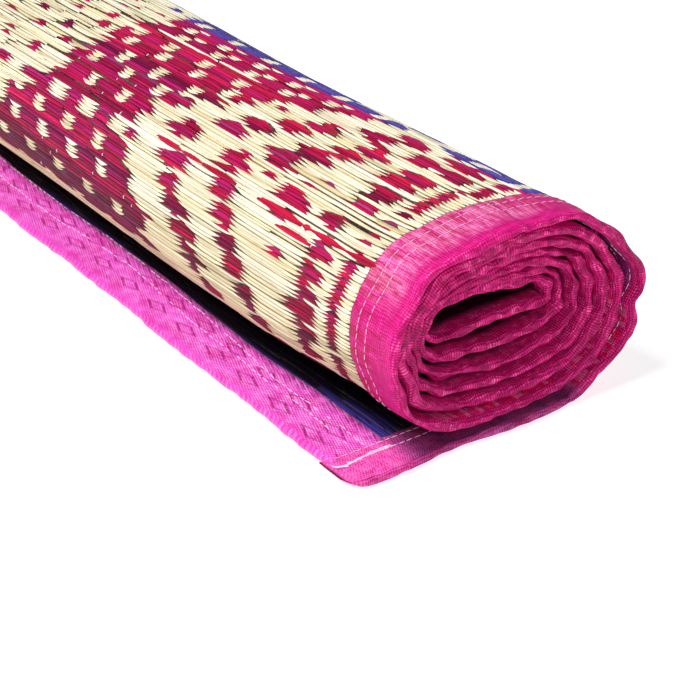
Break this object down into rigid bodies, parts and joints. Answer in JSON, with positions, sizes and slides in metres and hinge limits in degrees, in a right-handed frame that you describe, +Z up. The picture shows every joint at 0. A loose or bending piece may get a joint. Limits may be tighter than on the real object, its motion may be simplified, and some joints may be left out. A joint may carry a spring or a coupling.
{
  "type": "rolled korai grass mat",
  "caption": "Woven and dyed grass floor mat, wound into an oval roll with its outer end lying loose, cloth tape on its sides and patterned bands on its ends",
  "frame": {"origin": "centre of the whole part's box in plan, on the surface it lies on", "axes": "+Y along the roll from the near end to the far end, the loose end lies towards -X, +Z up"},
  "size_m": [0.1619, 0.9238, 0.0999],
  "materials": {
    "grass": "split grass, undyed and dyed crimson and indigo, satin",
    "tape": "thin pink cloth with a soft sheen",
    "band": "pink cloth with small woven diamonds and a satin sheen"
  },
  "bodies": {
    "root": {"grass_mat": "grass", "side_binding_near": "tape", "side_binding_far": "tape", "end_band_outer": "band", "end_band_inner": "band"}
  },
  "joints": []
}
